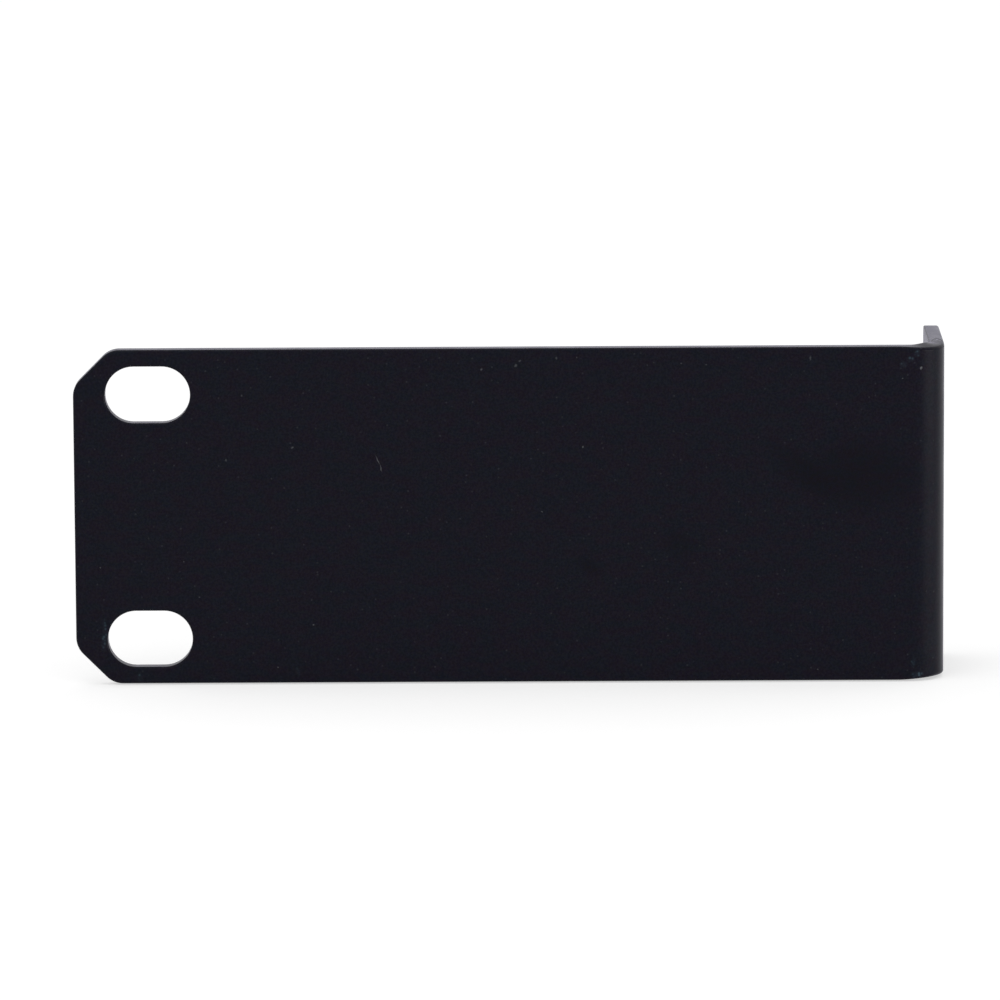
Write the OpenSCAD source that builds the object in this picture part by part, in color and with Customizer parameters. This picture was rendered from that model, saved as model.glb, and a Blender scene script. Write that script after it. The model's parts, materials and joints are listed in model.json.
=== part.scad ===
// Rack mount ear bracket.
// One strip of cold-rolled steel: punched with two full-round rack slots and two screw holes,
// clipped at the two corners of its free end, and folded once to 90 degrees.
// X runs from the rack slots to the fold, Y back into the rack and Z up. The origin is midway
// between the two slots, on the rear face that seats on the rack rail.

/* [Sheet] */
// Thickness of the steel sheet
sheet_t = 2.0; // [1.2:0.1:3]
// Inside radius of the fold
fold_in_r = 2.5; // [1.5:0.1:5]

/* [Face plate] */
// Height of the strip, one rack unit less its running clearance
strip_h = 43.4; // [42:0.1:60]
// Distance from the slot centres to the flange's outer face
reach = 102.25; // [40:0.25:220]
// Distance from the free end to the slot centres
end_margin = 9.55; // [8:0.05:20]

/* [Rack slots] */
// Distance between the centres of the two slots
slot_pitch = 31.75; // [12:0.05:32]
// Length of each slot from end to end
slot_l = 10.9; // [7.5:0.1:15]
// Width of each slot
slot_w = 7.3; // [4:0.1:7.4]

/* [Clipped corners] */
// Leg of the 45 degree cut at each corner of the free end
clip_leg = 4.75; // [2.5:0.05:5.5]
// Radius where the cut runs out into the end and into the long edge
clip_r = 3.0; // [0.5:0.1:4]

/* [Flange] */
// Depth of the flange from the front face to its free edge
flange_depth = 20.0; // [16:0.5:45]
// Radius of the two corners of the free edge
flange_corner_r = 1.0; // [0.3:0.1:4]

/* [Screw holes] */
// Diameter of the two screw holes, a clearance hole for an M4 screw
screw_hole_d = 4.5; // [3:0.1:6.5]
// Distance between the centres of the two screw holes
screw_pitch = 25.0; // [8:0.5:34]
// Distance from the free edge of the flange to the hole centres
screw_margin = 8.0; // [4.5:0.25:9]

/* [Fold ends] */
// How far the pressed inner skin of the fold swells out past the long edges
fold_swell = 0.15; // [0.05:0.05:0.4]
// How far the stretched outer skin of the fold draws in from the long edges
fold_draw = 0.2; // [0.05:0.05:0.5]

/* [Hidden] */
$fn = 96;
steel_black = [0.1, 0.1, 0.11];
edge_z = strip_h / 2;
free_x = -end_margin;
free_y = flange_depth - sheet_t;
fold_out_r = fold_in_r + sheet_t;
// The line that the fold turns about
fold_x = reach - fold_out_r;
fold_y = fold_in_r;
// Distance along each line from a clipped corner's vertex to where its arc begins
clip_run = clip_r * tan(22.5);
// The slant across each end of the fold, from the swollen inner skin to the drawn-in outer skin
slant_angle = atan((fold_swell + fold_draw) / sheet_t);
// The swelling starts as the cap of a ball, which the slant trims: its height, reach and radius
cap_h = 1.3 * fold_swell;
cap_reach = min(0.8 * sheet_t, 0.7 * fold_in_r);
ball_r = (cap_reach ^ 2 + cap_h ^ 2) / (2 * cap_h);
// How far the punches and the other cutting tools reach past the steel
past = 1;

// Copies its children to the upper and the lower half of the strip
module both_halves() {
    for (half = [0, 1])
        mirror([0, 0, half]) children();
}

// Sets a profile drawn with X and Z as its axes through the plate's thickness
module through_plate() {
    translate([0, past, 0]) rotate([90, 0, 0]) linear_extrude(sheet_t + 2 * past) children();
}

// Sets a profile drawn with Y and Z as its axes through the flange's thickness
module through_flange() {
    translate([reach - sheet_t - past, 0, 0]) rotate([90, 0, 90])
        linear_extrude(sheet_t + 2 * past) children();
}

// An upright block from one corner to the other, with the edge at the fold rounded
module block_with_round_edge(from, to, r, h) {
    size = to - from;
    translate([0, 0, -h / 2]) {
        translate(from) cube([size.x - r, size.y, h]);
        translate(from + [0, r]) cube([size.x, size.y - r, h]);
        translate([to.x - r, from.y + r]) cylinder(r = r, h = h);
    }
}

// Copies its children to the middle of the fold's inner corner, with X pointing straight outwards
module at_inner_corner(height) {
    translate([fold_x, fold_y, height]) rotate([0, 0, -45]) translate([fold_in_r, 0, 0]) children();
}

// A low round cap on the upper end of the fold
module swelling() {
    at_inner_corner(edge_z + cap_h) intersection() {
        translate([0, 0, -ball_r]) rotate([90, 0, 0]) sphere(r = ball_r);
        translate([0, 0, -past]) cylinder(r = 1.2 * cap_reach, h = 2 * past);
    }
}

// All that lies above the slant
module slant_waste() {
    size = 6 * sheet_t;
    at_inner_corner(edge_z + fold_swell) rotate([0, slant_angle, 0])
        translate([-size / 2, -size / 2, 0]) cube(size);
}

// The sheet as it stands after folding: the two radii of the fold share one centre
module folded_strip() {
    difference() {
        union() {
            block_with_round_edge([free_x, -sheet_t], [reach, free_y], fold_out_r, strip_h);
            both_halves() swelling();
        }
        block_with_round_edge([free_x - past, 0], [reach - sheet_t, free_y + past],
            fold_in_r, strip_h + 2 * past);
    }
}

module slot_punch() {
    straight = slot_l - slot_w;
    translate([0, 0, slot_pitch / 2]) {
        through_plate() square([straight, slot_w], center = true);
        for (side = [-1, 1])
            translate([side * straight / 2, 0, 0]) through_plate() circle(d = slot_w);
    }
}

module screw_punch() {
    translate([0, free_y - screw_margin, screw_pitch / 2])
        through_flange() circle(d = screw_hole_d);
}

// The waste at the free end's upper corner: a 45 degree cut that an arc eases at both its ends
module clip_waste() {
    step = clip_run * cos(45);
    end_top = edge_z - clip_leg;
    edge_left = free_x + clip_leg;
    difference() {
        through_plate() polygon([
            [free_x - past, end_top - clip_run],
            [free_x, end_top - clip_run],
            [free_x + step, end_top + step],
            [edge_left - step, edge_z - step],
            [edge_left + clip_run, edge_z],
            [edge_left + clip_run, edge_z + past],
            [free_x - past, edge_z + past],
        ]);
        translate([free_x + clip_r, 0, end_top - clip_run]) through_plate() circle(r = clip_r);
        translate([edge_left + clip_run, 0, edge_z - clip_r]) through_plate() circle(r = clip_r);
    }
}

// The waste at the upper corner of the flange's free edge
module flange_corner_waste() {
    corner_y = free_y - flange_corner_r;
    corner_z = edge_z - flange_corner_r;
    difference() {
        translate([0, corner_y, corner_z])
            through_flange() square(flange_corner_r + past);
        translate([0, corner_y, corner_z])
            through_flange() circle(r = flange_corner_r);
    }
}

module folded_ear() {
    color(steel_black) difference() {
        folded_strip();
        both_halves() {
            slant_waste();
            clip_waste();
            flange_corner_waste();
            slot_punch();
            screw_punch();
        }
    }
}

folded_ear();
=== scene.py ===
import json
import math

import bmesh
import bpy
import numpy as np
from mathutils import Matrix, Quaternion, Vector
from mathutils.geometry import delaunay_2d_cdt


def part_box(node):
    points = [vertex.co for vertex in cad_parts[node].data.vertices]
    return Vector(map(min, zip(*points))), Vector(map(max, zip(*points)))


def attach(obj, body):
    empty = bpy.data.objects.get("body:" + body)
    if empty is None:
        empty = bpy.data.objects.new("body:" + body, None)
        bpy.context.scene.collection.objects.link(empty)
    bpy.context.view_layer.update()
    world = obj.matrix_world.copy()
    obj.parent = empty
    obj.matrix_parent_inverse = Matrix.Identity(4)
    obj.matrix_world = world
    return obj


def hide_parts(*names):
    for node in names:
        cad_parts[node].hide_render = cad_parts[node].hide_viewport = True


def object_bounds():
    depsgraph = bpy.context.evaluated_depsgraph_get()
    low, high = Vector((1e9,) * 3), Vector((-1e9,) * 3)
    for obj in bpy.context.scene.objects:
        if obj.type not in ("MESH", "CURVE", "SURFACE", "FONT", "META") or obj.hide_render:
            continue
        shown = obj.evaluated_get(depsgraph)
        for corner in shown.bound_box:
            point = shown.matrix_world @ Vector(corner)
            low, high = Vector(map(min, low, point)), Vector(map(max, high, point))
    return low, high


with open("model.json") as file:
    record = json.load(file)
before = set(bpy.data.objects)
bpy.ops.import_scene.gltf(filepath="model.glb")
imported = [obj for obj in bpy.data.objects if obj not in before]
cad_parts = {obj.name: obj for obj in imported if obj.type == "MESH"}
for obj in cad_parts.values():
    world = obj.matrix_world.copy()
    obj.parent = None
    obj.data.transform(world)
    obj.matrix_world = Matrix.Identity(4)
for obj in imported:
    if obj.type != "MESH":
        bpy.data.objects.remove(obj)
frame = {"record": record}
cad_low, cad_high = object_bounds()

# --- Folded strip ---
# The whole ear: one strip of 2 mm cold-rolled steel, punched and clipped while flat and then folded
# once on a press brake. It is powder coated satin black last, and the coat rounds every cut edge.
MM = 0.001
ear_low, ear_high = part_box("folded_ear")
mounts = {mount["name"]: mount for mount in frame["record"]["mounts"]}
slot_dims = mounts["rack_slots"]["dims"]
screw_dims = mounts["device_holes"]["dims"]

sheet_t = -ear_low[1]
free_x = ear_low[0]
reach = ear_high[0]
half_h = 43.4 * MM / 2

fold_in_r = 2.5 * MM
fold_out_r = fold_in_r + sheet_t
fold_x = reach - fold_out_r
fold_y = fold_in_r
fold_len = (fold_in_r + sheet_t / 2) * math.pi / 2
fold_end = fold_x + fold_len
# At both ends of the fold the pressed inner skin swells past the long edges and the stretched outer
# skin draws in, from a little before the fold to a little past it
fold_swell = 0.16 * MM
fold_draw = 0.36 * MM
draw_start = fold_x - 1.6 * MM
draw_end = fold_end + 2.2 * MM
draw_steps = 28
draw_reach = 2.2 * MM

blank_end = fold_end + ear_high[1] - fold_y
clip_leg = 4.75 * MM
clip_r = 3.0 * MM
clip_run = clip_r * math.tan(math.radians(22.5))
flange_corner_r = 1.0 * MM

slot_pitch = slot_dims["spacing_y_mm"] * MM
slot_r = slot_dims["hole_r_mm"] * MM
slot_straight = slot_dims["slot_length_mm"] * MM - 2 * slot_r
screw_pitch = screw_dims["spacing_y_mm"] * MM
screw_r = screw_dims["hole_r_mm"] * MM
screw_along = fold_end + mounts["device_holes"]["pos_m"][1] - fold_y

# The coat's round over a cut edge: wide on the side that the punch rolled over, tight on the other,
# and widest at the flange's free edge, where the shear cut the strip to length
front_round = 0.36 * MM
rear_round = 0.16 * MM
sheared_round = 0.6 * MM
round_steps = 5
spacing = 2.4 * MM
clear_of_cuts = 0.6 * spacing

# Every vertex is kept as a place in the flat blank: along the strip, up, and depth from the outer skin
places = []
facings = []
faces = []


def add(new_places, new_facings):
    """Adds vertices of the blank and returns their numbers."""
    first = len(places)
    places.extend(new_places)
    facings.extend(new_facings)
    return list(range(first, len(places)))


def arc(along, up, r, start, end, steps):
    """Points of a round stretch, each with the way it faces. A negative radius is a hole's wall."""
    turns = [math.radians(start + (end - start) * i / steps) for i in range(steps + 1)]
    return [(along + r * math.cos(a), up + r * math.sin(a), math.cos(a), math.sin(a)) for a in turns]


def straight(start, end, facing):
    """Evenly spaced points between two corners, without the corners themselves."""
    steps = max(round(math.dist(start, end) / spacing), 1)
    return [
        (*(a + (b - a) * i / steps for a, b in zip(start, end)), *facing) for i in range(1, steps)
    ]


def mirrored(outline):
    """The same stretch on the strip's lower half, followed the other way."""
    return [(along, -up, face_along, -face_up) for along, up, face_along, face_up in outline[::-1]]


def towards_sheared_end(along):
    """From 0 over most of the strip to 1 at the flange's free edge."""
    return min(max((along - blank_end + flange_corner_r) / flange_corner_r, 0), 1)


def coated_edge(outline):
    """Adds the wall round an outline, from the outer skin to the inner, and returns its end rings."""
    rings = []
    leans = [(front_round, 0, 90 * i / round_steps) for i in range(round_steps + 1)]
    leans += [(rear_round, sheet_t, 90 + 90 * i / round_steps) for i in range(round_steps + 1)]
    for usual_round, skin, lean in leans:
        sink, out = math.cos(math.radians(lean)), math.sin(math.radians(lean))
        ring = []
        for along, up, face_along, face_up in outline:
            r = usual_round
            if skin == 0:
                r += (sheared_round - r) * towards_sheared_end(along)
            inset = r * (1 - out)
            depth = r * (1 - sink) if skin == 0 else sheet_t - r * (1 + sink)
            ring.append((along - face_along * inset, up - face_up * inset, depth))
        rings.append(add(ring, [(point[2] * out, point[3] * out, -sink) for point in outline]))
    for outer, inner in zip(rings, rings[1:]):
        for i in range(len(outline)):
            faces.append((outer[i - 1], outer[i], inner[i], inner[i - 1]))
    return rings[0], rings[-1]


def metal_round(along, up):
    """How far a point of the blank lies from the nearest cut."""
    up = abs(up)
    return min(
        along - free_x,
        blank_end - along,
        half_h - up,
        (along - free_x + half_h - up - clip_leg) / math.sqrt(2),
        math.hypot(max(abs(along) - slot_straight / 2, 0), up - slot_pitch / 2) - slot_r,
        math.hypot(along - screw_along, up - screw_pitch / 2) - screw_r,
    )


def fill_flat(outer_loops, inner_loops, start, end):
    """Covers both skins between the given loops with even triangles, from start to end along."""
    outline = [number for loop in outer_loops for number in loop]
    other_side = [number for loop in inner_loops for number in loop]
    edges = []
    for loop in outer_loops:
        first = len(edges)
        edges += [(first + i, first + (i + 1) % len(loop)) for i in range(len(loop))]
    lattice = []
    for row in range(1, round(2 * half_h / spacing)):
        for column in range(round((end - start) / spacing) + 1):
            along = start + (column + row % 2 / 2) * spacing
            up = row * spacing - half_h
            between_loops = start < along - spacing / 2 < end - spacing
            if metal_round(along, up) > clear_of_cuts and between_loops:
                lattice.append((along, up))
    outline += add([(a, u, 0) for a, u in lattice], [(0, 0, -1)] * len(lattice))
    other_side += add([(a, u, sheet_t) for a, u in lattice], [(0, 0, 1)] * len(lattice))
    flat = [Vector(places[number][:2]) / MM for number in outline]
    inside_only, merge_within = 1, 1e-5
    _, _, triangles, sources, _, _ = delaunay_2d_cdt(flat, edges, [], inside_only, merge_within)
    for triangle in triangles:
        corners = [sources[corner][0] for corner in triangle]
        middle = sum((flat[corner] for corner in corners), Vector((0, 0))) * MM / 3
        if metal_round(*middle) > front_round:
            faces.append([outline[corner] for corner in corners])
            faces.append([other_side[corner] for corner in corners])


def folded(blank):
    """Stands places in the blank where folding takes them."""
    along, up, depth = blank.T
    turn = np.clip((along - fold_x) / fold_len, 0, 1) * np.pi / 2
    r = fold_out_r - depth
    x = np.minimum(along, fold_x) + r * np.sin(turn)
    y = fold_y - r * np.cos(turn) + np.maximum(along - fold_end, 0)
    outer_share = np.clip(1 - depth / sheet_t, 0, 1)
    swell = fold_swell * (1 - outer_share) * np.sin(2 * turn) ** 2
    through_draw = np.clip((along - draw_start) / (draw_end - draw_start), 0, 1)
    draw = fold_draw * outer_share ** 1.5 * np.sin(np.pi * through_draw) ** 2
    near_end = np.clip(1 - (half_h - abs(up)) / draw_reach, 0, 1)
    fade = near_end ** 2 * (3 - 2 * near_end)
    return np.column_stack([x, y, up + np.sign(up) * (swell - draw) * fade])


def facing_once_folded(blank, facing):
    """The way each place faces after folding, from how the fold carries the three directions there."""
    nudge = 1e-6
    along, up, deep = (folded(blank + nudge * way) - folded(blank - nudge * way) for way in np.eye(3))
    out = facing[:, [0]] * np.cross(deep, up)
    out += facing[:, [1]] * np.cross(along, deep)
    out += facing[:, [2]] * np.cross(up, along)
    return out / np.linalg.norm(out, axis=1, keepdims=True)


end_top = half_h - clip_leg - clip_run
edge_left = free_x + clip_leg + clip_run
before_fold = arc(free_x + clip_r, end_top, clip_r, 180, 135, 8)
before_fold += arc(edge_left, half_h - clip_r, clip_r, 135, 90, 8)
before_fold += straight((edge_left, half_h), (draw_start, half_h), (0, 1))
columns_along = [draw_start + (draw_end - draw_start) * i / draw_steps for i in range(draw_steps + 1)]
fold_edge = [(along, half_h, 0, 1) for along in columns_along]
corner_along = blank_end - flange_corner_r
corner_up = half_h - flange_corner_r
past_fold = straight((draw_end, half_h), (corner_along, half_h), (0, 1))
past_fold += arc(corner_along, corner_up, flange_corner_r, 90, 0, 8)
upper_edge = before_fold + fold_edge + past_fold

free_end = straight((free_x, -end_top), (free_x, end_top), (-1, 0))
flange_end = straight((blank_end, corner_up), (blank_end, -corner_up), (1, 0))
outer_ring, inner_ring = coated_edge(free_end + upper_edge + flange_end + mirrored(upper_edge))

slot_rings = []
screw_rings = []
for half in (1, -1):
    centre = half * slot_pitch / 2
    slot_wall = arc(slot_straight / 2, centre, -slot_r, 90, 270, 28)
    slot_wall += arc(-slot_straight / 2, centre, -slot_r, 270, 450, 28)
    slot_rings.append(coated_edge(slot_wall))
    screw_wall = arc(screw_along, half * screw_pitch / 2, -screw_r, 0, 360, 48)[1:]
    screw_rings.append(coated_edge(screw_wall))

# The fold itself is a grid: its rows lie closer near both ends, where the skins swell and draw in
fold_top = len(free_end) + len(before_fold)
fold_bottom = len(outer_ring) - 1 - len(before_fold)
row_insets = (0.55, 0.9, 1.3, 1.8, 2.4, 3.4)
end_rows = [half_h - inset * MM for inset in row_insets]
middle_rows = [row[1] for row in straight((0, end_rows[-1]), (0, -end_rows[-1]), (0, 0))]
fold_rows = end_rows + middle_rows + [-row for row in end_rows[::-1]]
fold_loops = []
for ring, depth, facing in ((outer_ring, 0, (0, 0, -1)), (inner_ring, sheet_t, (0, 0, 1))):
    columns = []
    for i, along in enumerate(columns_along):
        rows = add([(along, up, depth) for up in fold_rows], [facing] * len(fold_rows))
        columns.append([ring[fold_top + i], *rows, ring[fold_bottom - i]])
    for left, right in zip(columns, columns[1:]):
        for i in range(1, len(left)):
            faces.append((left[i - 1], right[i - 1], right[i], left[i]))
    plate_loop = ring[:fold_top] + columns[0] + ring[fold_bottom + 1:]
    flange_loop = ring[fold_top + draw_steps + 1:fold_bottom - draw_steps] + columns[-1][::-1]
    fold_loops.append((plate_loop, flange_loop))

for side, (cut_rings, start, end) in enumerate((
    (slot_rings, free_x, draw_start),
    (screw_rings, draw_end, blank_end),
)):
    fill_flat(
        [fold_loops[0][side]] + [rings[0] for rings in cut_rings],
        [fold_loops[1][side]] + [rings[1] for rings in cut_rings],
        start, end,
    )

blank = np.array(places)
strip_mesh = bpy.data.meshes.new("folded_strip")
strip_mesh.from_pydata(folded(blank), [], faces)
strip_form = bmesh.new()
strip_form.from_mesh(strip_mesh)
bmesh.ops.recalc_face_normals(strip_form, faces=strip_form.faces)
strip_form.to_mesh(strip_mesh)
strip_form.free()
strip_mesh.shade_smooth()
strip_mesh.normals_split_custom_set_from_vertices(facing_once_folded(blank, np.array(facings)))
strip_piece = bpy.data.objects.new("folded_strip", strip_mesh)
bpy.context.scene.collection.objects.link(strip_piece)

coat = bpy.data.materials.new("satin_black_powder_coat")
coat.use_nodes = True
coat_nodes = coat.node_tree.nodes
coat_links = coat.node_tree.links
coat_shader = coat_nodes["Principled BSDF"]
coat_place = coat_nodes.new("ShaderNodeTexCoord").outputs["Object"]


def coat_step(kind, inputs, **settings):
    """Adds a node to the coat, gives its inputs links or plain values, and returns it."""
    step = coat_nodes.new("ShaderNode" + kind)
    for name, value in settings.items():
        setattr(step, name, value)
    for name, source in inputs.items():
        if isinstance(source, bpy.types.NodeSocket):
            coat_links.new(source, step.inputs[name])
        else:
            step.inputs[name].default_value = source
    return step


def coat_sum(operation, first, second):
    """One sum on plain values."""
    return coat_step("Math", {0: first, 1: second}, operation=operation).outputs[0]


def coat_vector(operation, first, second):
    """One sum on places or colours."""
    return coat_step("VectorMath", {0: first, 1: second}, operation=operation).outputs[0]


def coat_times(vector, share):
    """A place or colour times a plain value."""
    return coat_step("VectorMath", {0: vector, "Scale": share}, operation="SCALE").outputs[0]


def coat_ramp(value, low, high, at_low, at_high):
    """A smooth change from one level to another while a value goes from low to high."""
    levels = dict(enumerate((value, low, high, at_low, at_high)))
    return coat_step("MapRange", levels, interpolation_type="SMOOTHSTEP").outputs[0]


def coat_noise(per_metre, detail, stretch=(1, 1, 1)):
    """Cloudy noise through the coat, with so many lumps to the metre."""
    place = coat_vector("MULTIPLY", coat_place, stretch)
    return coat_step("TexNoise", {"Vector": place, "Scale": per_metre, "Detail": detail})


def coat_foam(per_metre):
    """A foam of small cells through the coat."""
    return coat_step("TexVoronoi", {"Vector": coat_place, "Scale": per_metre})


# The black itself: violet and blue-green lie side by side in soft drifts, under a fine neutral grain
violet_black = (0.0023, 0.0005, 0.0046)
green_black = (0.0004, 0.0014, 0.0050)
drift = coat_ramp(coat_noise(900, 3, (0.45, 1, 1)).outputs[0], 0.36, 0.64, 0, 1)
violet_share = coat_times(violet_black, drift)
green_share = coat_times(green_black, coat_sum("SUBTRACT", 1, drift))
black = coat_vector("ADD", violet_share, green_share)
blue_grain = coat_ramp(coat_noise(2800, 2).outputs["Color"], 0.38, 0.62, 0, 0.0030)
grain = coat_ramp(coat_noise(3600, 2).outputs[0], 0.34, 0.66, 0, 0.0039)

# Bright flecks of pigment: one in half the cells of a fine foam, each a few tenths of a millimetre
# across
fleck_foam = coat_foam(1200)
chosen_cell = coat_step("SeparateColor", {"Color": fleck_foam.outputs["Color"]}).outputs[0]
fleck_shape = coat_ramp(fleck_foam.outputs["Distance"], 0, 0.22, 1, 0)
flecks = coat_sum("MULTIPLY", fleck_shape, coat_ramp(chosen_cell, 0.5, 1, 0, 0.022))

# Marks of handling on the front. Their outlines wobble a little, so that none is a clean oval.
wobble = coat_vector("SUBTRACT", coat_noise(2500, 2).outputs["Color"], (0.5, 0.5, 0.5))
wobble_reach = (0.3 * MM, 0, 0.3 * MM)
marked_place = coat_vector("ADD", coat_place, coat_vector("MULTIPLY", wobble, wobble_reach))


def marks(strength, *spots):
    """Adds up spots on the front. Each has its place in x and z and its half sizes, in millimetres,
    then its lean in degrees and its share of the strength.
    """
    core, rim = 0.2, 1.1
    total = 0.0
    for x, z, half_x, half_z, lean, level in spots:
        offset = coat_vector("SUBTRACT", marked_place, (x * MM, 0, z * MM))
        if lean:
            turn = {"Vector": offset, "Angle": math.radians(lean)}
            offset = coat_step("VectorRotate", turn, rotation_type="Y_AXIS").outputs[0]
        shares = coat_vector("MULTIPLY", offset, (1 / (half_x * MM), 0, 1 / (half_z * MM)))
        out = coat_step("VectorMath", {0: shares}, operation="LENGTH").outputs["Value"]
        total = coat_sum("ADD", total, coat_ramp(out, core, rim, level * strength, 0))
    return total


# Nibs: specks of dust and pigment that stand in the coat
nibs = marks(
    0.055,
    (18.5, 9.0, 0.20, 0.20, 0, 1.0),
    (10.0, 7.4, 0.16, 0.20, 0, 0.8),
    (12.1, 15.8, 0.16, 0.14, 0, 0.6),
    (21.0, -14.1, 0.18, 0.17, 0, 1.3),
    (16.4, -19.6, 0.13, 0.13, 0, 1.0),
    (4.4, -5.8, 0.13, 0.13, 0, 0.9),
    (-6.3, -6.5, 0.14, 0.13, 0, 1.0),
    (6.4, -10.4, 0.12, 0.12, 0, 0.7),
    (42.8, 19.0, 0.26, 0.16, 40, 1.0),
    (47.2, 19.5, 0.30, 0.20, 50, 0.9),
    (47.7, 20.1, 0.22, 0.14, 60, 0.8),
    (52.4, 20.4, 0.16, 0.22, 0, 0.7),
    (55.0, 20.5, 0.15, 0.15, 0, 0.7),
    (55.8, 8.9, 0.14, 0.17, 0, 1.4),
    (50.5, 0.5, 0.12, 0.12, 0, 1.0),
    (68.4, 19.7, 0.12, 0.12, 0, 0.8),
    (71.6, 19.5, 0.14, 0.12, 0, 0.8),
    (84.9, 20.3, 0.16, 0.40, 0, 0.7),
    (85.9, -20.2, 0.12, 0.12, 0, 1.2),
    (96.7, 17.6, 0.13, 0.12, 0, 1.2),
    (99.1, 18.9, 0.18, 0.22, 0, 2.0),
)

# Scuffs that grazed the coat: tiny dots inside a long soft patch
scuff_dots = coat_ramp(coat_foam(2100).outputs["Distance"], 0.15, 0.5, 1, 0.15)
scuffs = coat_sum("MULTIPLY", scuff_dots, marks(
    0.045,
    (-5.9, -15.4, 0.42, 2.6, -3, 1.0),
    (-1.4, -20.9, 0.50, 0.9, 0, 0.8),
    (19.0, -20.2, 0.30, 0.9, 8, 0.8),
    (96.8, 19.4, 0.65, 0.55, 0, 1.4),
    (97.7, 20.1, 0.60, 0.50, 0, 1.2),
    (98.6, 20.8, 0.50, 0.50, 0, 1.1),
    (98.2, -19.3, 0.35, 0.9, 0, 1.0),
    (98.7, -21.0, 0.90, 0.55, 10, 1.8),
))

# One hairline scratch of two short strokes that meet at a slight angle
scratch = marks(
    0.07,
    (29.45, 7.35, 0.075, 0.85, 24, 1.0),
    (29.85, 6.25, 0.075, 0.60, 12, 1.0),
)

# Painted shade: patches of the front, most of them towards the fold, where the black is drawn a shade
# deeper to stand in for light falling off there
painted_shade_patches = marks(
    0.75,
    (91.5, 5.0, 9.5, 6.5, 0, 1.0),
    (83.5, 6.0, 6.5, 2.6, -38, 0.8),
    (68.0, -3.8, 3.4, 2.6, -25, 0.7),
    (56.5, -6.6, 2.4, 1.4, -28, 0.9),
)
outside_painted_shade = coat_sum("MAXIMUM", 0, coat_sum("SUBTRACT", 1, painted_shade_patches))
painted_shade_level = 0.6
# The painted shade darkens the black inside these patches
black = coat_times(black, coat_ramp(outside_painted_shade, 0, 1, painted_shade_level, 1))

# Grain, flecks and marks lie over the black, each in its own tint. Nibs, scratch and
# scuffs stay on the front.
pale_tint = (0.92, 0.97, 1.0)
scuff_tint = (0.45, 0.8, 1.0)
blue_tint = (0.1, 0.1, 1.0)
place_axes = coat_step("SeparateXYZ", {0: coat_place}).outputs
on_front = coat_ramp(place_axes["Y"], -1.6 * MM, -0.6 * MM, 1, 0)
white_marks = coat_sum("MULTIPLY", coat_sum("ADD", nibs, scratch), on_front)
blue_marks = coat_sum("MULTIPLY", scuffs, on_front)
# Inside the painted shade patches the grain and flecks are dimmed as well
pale = coat_sum("ADD", coat_sum("MULTIPLY", coat_sum("ADD", grain, flecks), outside_painted_shade), white_marks)
coat_colour = coat_vector("ADD", black, coat_times(pale_tint, pale))
coat_colour = coat_vector("ADD", coat_colour, coat_times(scuff_tint, blue_marks))
coat_colour = coat_vector("ADD", coat_colour, coat_times(blue_tint, blue_grain))
coat_links.new(coat_colour, coat_shader.inputs["Base Color"])

# A satin skin: fine grain over the low waves that powder leaves when it melts. Past each end of the
# fold, where the swelling stops, a short curved crease crosses the flange's edge.
grain_depth = 0.002 * MM
wave_depth = 0.006 * MM
crease_depth = 0.11 * MM
crease_half_width = 0.55 * MM
crease_x = reach - 0.9 * MM
crease_y = fold_y + 2.3 * MM
crease_bow = 4.3 / MM
grain_height = coat_sum("MULTIPLY", coat_noise(4200, 2).outputs[0], grain_depth)
wave_height = coat_sum("MULTIPLY", coat_noise(700, 1).outputs[0], wave_depth)
across = coat_sum("SUBTRACT", place_axes["X"], crease_x)
bowed = coat_sum("MULTIPLY", coat_sum("MULTIPLY", across, across), crease_bow)
behind = coat_sum("ADD", coat_sum("SUBTRACT", place_axes["Y"], crease_y), bowed)
crease_line = coat_ramp(coat_sum("ABSOLUTE", behind, 0), 0, crease_half_width, 1, 0)
crease_ends = coat_ramp(coat_sum("ABSOLUTE", across, 0), 0.5 * MM, 0.8 * MM, 1, 0)
on_edge = coat_ramp(coat_sum("ABSOLUTE", place_axes["Z"], 0), half_h - MM, half_h - MM / 2, 0, 1)
crease = coat_sum("MULTIPLY", coat_sum("MULTIPLY", crease_line, crease_ends), on_edge)
crease_height = coat_sum("MULTIPLY", crease, -crease_depth)
skin_height = coat_sum("ADD", coat_sum("ADD", grain_height, wave_height), crease_height)
skin = coat_step("Bump", {"Height": skin_height, "Strength": 1, "Distance": 1})
coat_links.new(skin.outputs[0], coat_shader.inputs["Normal"])
coat_satin = coat_ramp(coat_noise(300, 3).outputs[0], 0.3, 0.7, 0.29, 0.36)
coat_links.new(coat_satin, coat_shader.inputs["Roughness"])
coat_shader.inputs["Specular IOR Level"].default_value = 0.092
coat_shader.inputs["Sheen Weight"].default_value = 0.36
coat_shader.inputs["Sheen Roughness"].default_value = 0.22
coat_shader.inputs["Sheen Tint"].default_value = (0.74, 0.70, 1.0, 1)
strip_mesh.materials.append(coat)

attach(strip_piece, "root")
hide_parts("folded_ear")

# --- Floor ---
# A plain pale studio floor under the ear. It stays near white where nothing shades it, and keeps
# the soft shadow of what stands on it.
floor_reach = 5.0
floor_grey = 0.55
floor_glow = 0.52
floor_mesh = bpy.data.meshes.new("studio_floor")
floor_corners = [
    (x * floor_reach, y * floor_reach, cad_low.z) for x, y in ((-1, -1), (1, -1), (1, 1), (-1, 1))
]
floor_mesh.from_pydata(floor_corners, [], [(0, 1, 2, 3)])
floor = bpy.data.objects.new("studio_floor", floor_mesh)
bpy.context.scene.collection.objects.link(floor)

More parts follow.
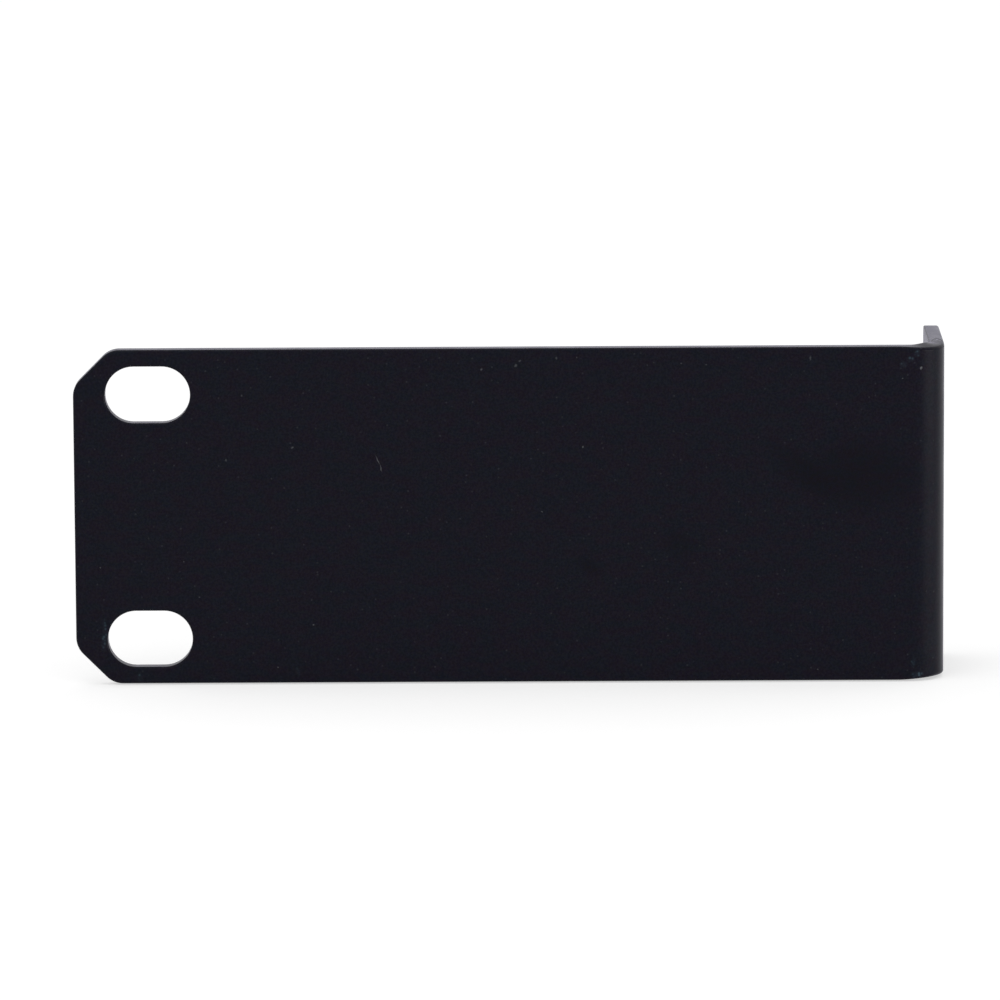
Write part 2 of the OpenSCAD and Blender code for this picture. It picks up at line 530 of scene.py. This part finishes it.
floor_paint = bpy.data.materials.new("pale_floor")
floor_paint.use_nodes = True
floor_nodes = floor_paint.node_tree.nodes
floor_links = floor_paint.node_tree.links
floor_shader = floor_nodes["Principled BSDF"]
floor_shader.inputs["Base Color"].default_value = (floor_grey, floor_grey, floor_grey, 1)
floor_shader.inputs["Roughness"].default_value = 0.9
floor_shader.inputs["Specular IOR Level"].default_value = 0.0
floor_shader.inputs["Emission Color"].default_value = (1, 1, 1, 1)


def seen_plainly(nodes, links):
    """1 for the camera's rays and for what gloss and glass show, 0 for light that falls on things."""
    path = nodes.new("ShaderNodeLightPath")
    seen = path.outputs["Is Camera Ray"]
    for kind in ("Is Glossy Ray", "Is Transmission Ray"):
        either = nodes.new("ShaderNodeMath")
        either.operation = "MAXIMUM"
        links.new(seen, either.inputs[0])
        links.new(path.outputs[kind], either.inputs[1])
        seen = either.outputs[0]
    return seen


floor_lift = floor_nodes.new("ShaderNodeMath")
floor_lift.operation = "MULTIPLY"
floor_lift.inputs[1].default_value = floor_glow
floor_links.new(seen_plainly(floor_nodes, floor_links), floor_lift.inputs[0])
floor_links.new(floor_lift.outputs[0], floor_shader.inputs["Emission Strength"])
floor_mesh.materials.append(floor_paint)

# --- Light ---
# White surroundings give most of it. A large soft box hangs overhead, a weaker one stands to the
# left, and a wide low one to the right draws the highlight down the fold.
world = bpy.data.worlds.new("white_surroundings")
bpy.context.scene.world = world
world.use_nodes = True
world_nodes = world.node_tree.nodes
world_links = world.node_tree.links
sky = world_nodes["Background"]
sky.inputs["Color"].default_value = (1, 1, 1, 1)
sky_level = world_nodes.new("ShaderNodeMapRange")
sky_level.inputs["To Min"].default_value = 0.85
sky_level.inputs["To Max"].default_value = 1.0
world_links.new(seen_plainly(world_nodes, world_links), sky_level.inputs["Value"])
world_links.new(sky_level.outputs[0], sky.inputs["Strength"])

ear_centre = (cad_low + cad_high) / 2


def soft_box(name, azimuth, elevation, distance, width, height, watts):
    """A lamp that faces the ear. Azimuth 0 is in front of it and 90 to its right."""
    lamp = bpy.data.lights.new(name, "AREA")
    lamp.shape = "RECTANGLE"
    lamp.size = width
    lamp.size_y = height
    lamp.energy = watts
    lamp_object = bpy.data.objects.new(name, lamp)
    a, e = math.radians(azimuth), math.radians(elevation)
    towards = Vector((math.sin(a) * math.cos(e), -math.cos(a) * math.cos(e), math.sin(e)))
    lamp_object.location = ear_centre + towards * distance
    lamp_object.rotation_mode = "QUATERNION"
    lamp_object.rotation_quaternion = towards.to_track_quat("Z", "Y")
    lamp_object.visible_camera = False
    bpy.context.scene.collection.objects.link(lamp_object)


soft_box("overhead_box", 0, 80, 1.2, 1.0, 1.0, 2.0)
soft_box("left_box", -40, 35, 1.3, 0.5, 0.5, 0.8)
soft_box("right_box", 67, 3, 1.3, 0.8, 0.3, 6.0)

# --- Camera ---
# A long lens in front of the plate, a little above it and all but square to it.
camera_lens = bpy.data.cameras.new("camera")
camera_lens.lens = 291.9
camera_lens.sensor_width = 36
camera_lens.clip_start = 0.01
camera_lens.clip_end = 20
camera = bpy.data.objects.new("camera", camera_lens)
camera_azimuth = math.radians(0.3)
camera_elevation = math.radians(9.38)
camera_roll = math.radians(0.313)
camera_distance = 1.0403
camera_aim = Vector((ear_centre.x - 1.25 * MM, cad_low.y, ear_centre.z + 2.07 * MM))
camera_back = Vector((
    math.sin(camera_azimuth) * math.cos(camera_elevation),
    -math.cos(camera_azimuth) * math.cos(camera_elevation),
    math.sin(camera_elevation),
))
camera.location = camera_aim + camera_back * camera_distance
camera.rotation_mode = "QUATERNION"
camera.rotation_quaternion = (
    camera_back.to_track_quat("Z", "Y") @ Quaternion((0, 0, 1), -camera_roll)
)
bpy.context.scene.collection.objects.link(camera)
bpy.context.scene.camera = camera
bpy.context.scene.view_settings.view_transform = "Standard"
